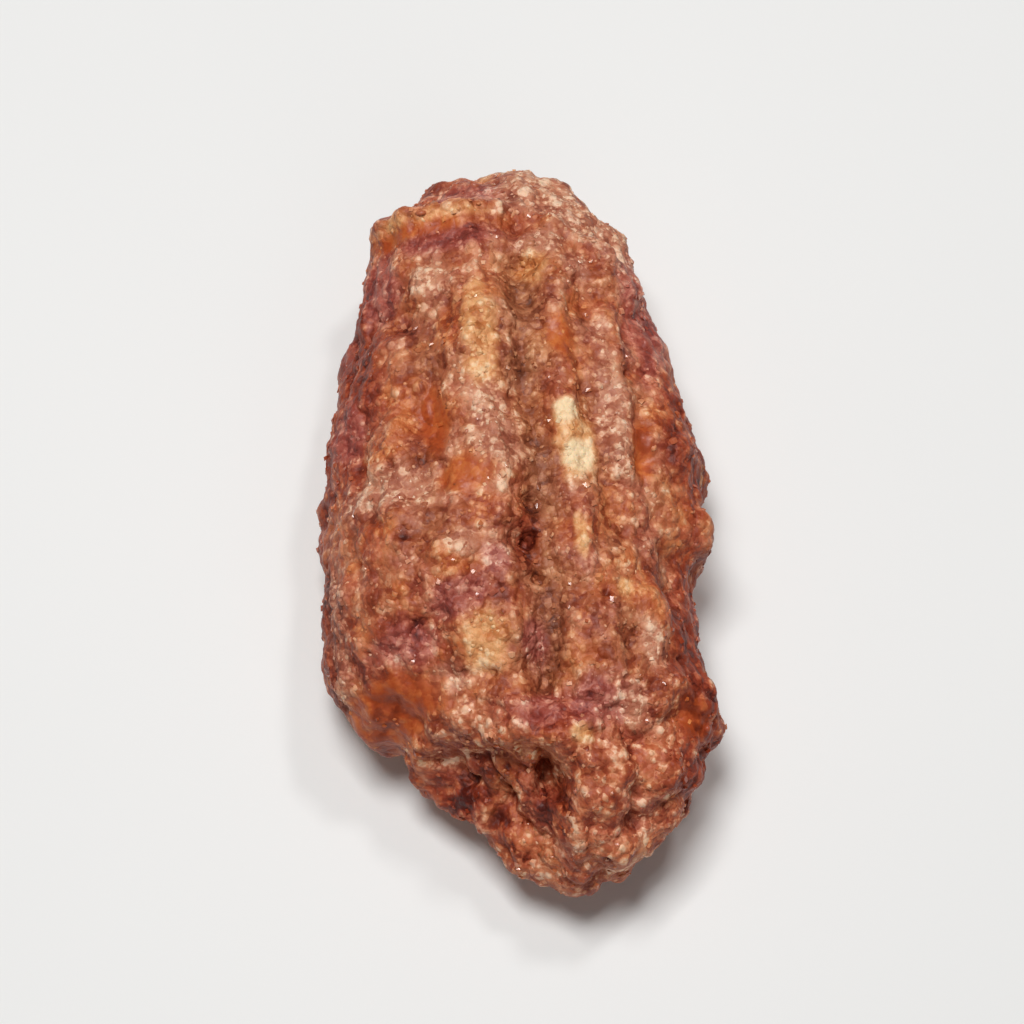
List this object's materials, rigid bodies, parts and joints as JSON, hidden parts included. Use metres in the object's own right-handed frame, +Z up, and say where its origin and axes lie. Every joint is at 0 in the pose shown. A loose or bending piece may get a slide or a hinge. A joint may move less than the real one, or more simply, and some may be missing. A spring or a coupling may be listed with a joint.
{
  "type": "praline pecan",
  "caption": "Pecan half in a rough cooked-sugar crust, with a domed, furrowed outer face and a troughed inner face that it rests on.",
  "frame": {"origin": "on the floor that the piece rests on, under the middle of its bounding box", "axes": "+Y along the nut towards its pointed end, +X across it, +Z up out of the domed, furrowed outer face"},
  "size_m": [0.0212, 0.0408, 0.0125],
  "materials": {
    "sugar_crust": "grainy cooked sugar, red brown with amber and tan patches, dull gloss with fine sparkle"
  },
  "bodies": {
    "root": {"praline_pecan": "sugar_crust"}
  },
  "joints": []
}
